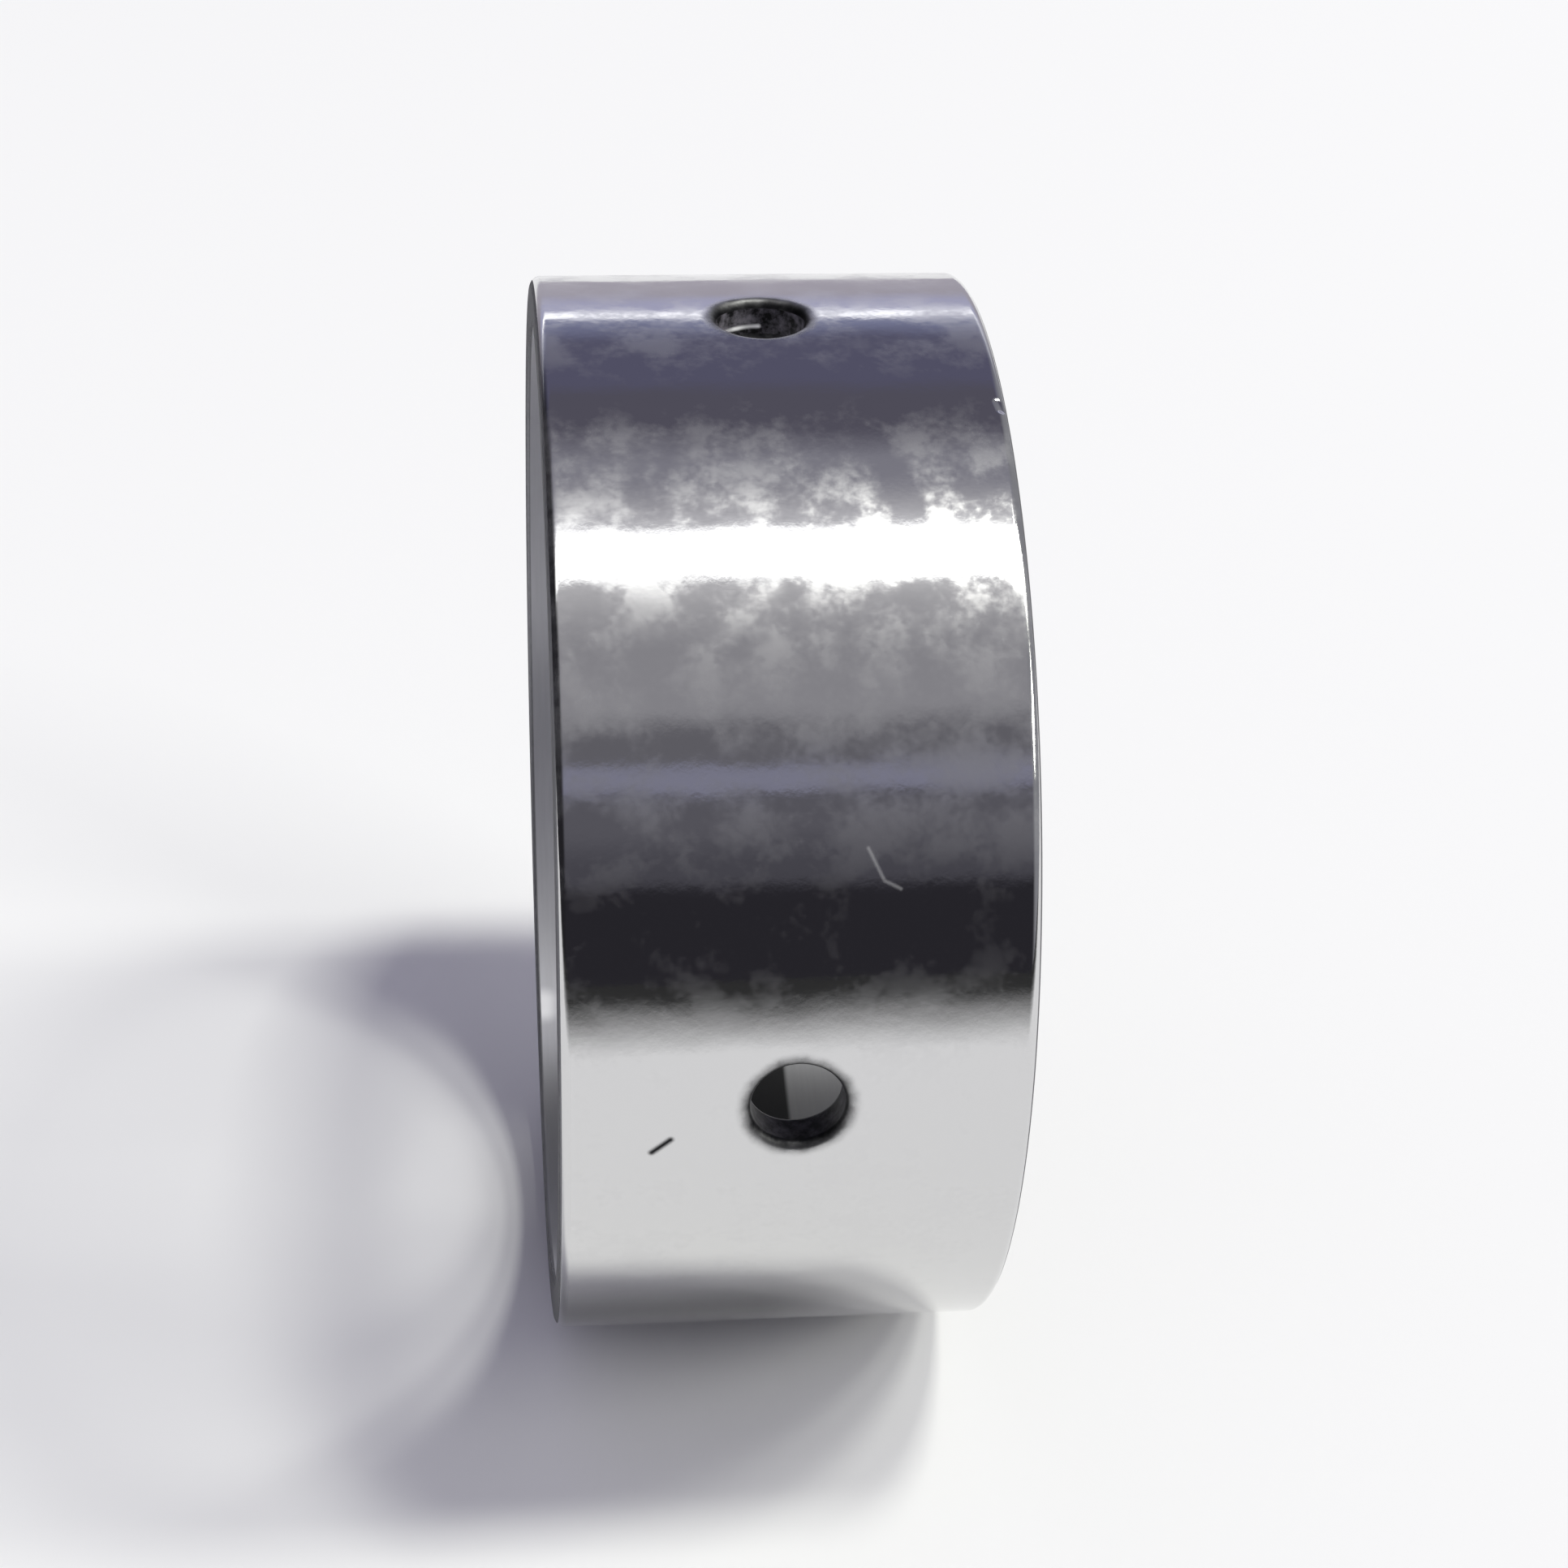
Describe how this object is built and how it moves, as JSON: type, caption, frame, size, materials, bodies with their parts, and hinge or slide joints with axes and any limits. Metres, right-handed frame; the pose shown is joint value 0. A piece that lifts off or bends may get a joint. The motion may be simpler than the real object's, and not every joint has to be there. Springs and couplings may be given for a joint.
{
  "type": "thin-walled steel bushing with radial lubrication holes",
  "caption": "Thin-walled polished steel ring bushing with open radial lubrication holes at half its width and rounded rims.",
  "frame": {"origin": "centre of the lower end face, on the ring's axis", "axes": "+Z along the ring's axis, +X and +Y through radial holes"},
  "size_m": [0.05, 0.05, 0.02],
  "materials": {
    "polished_steel": "lapped and polished, faintly mottled"
  },
  "bodies": {
    "root": {"bushing": "polished_steel"}
  },
  "joints": []
}
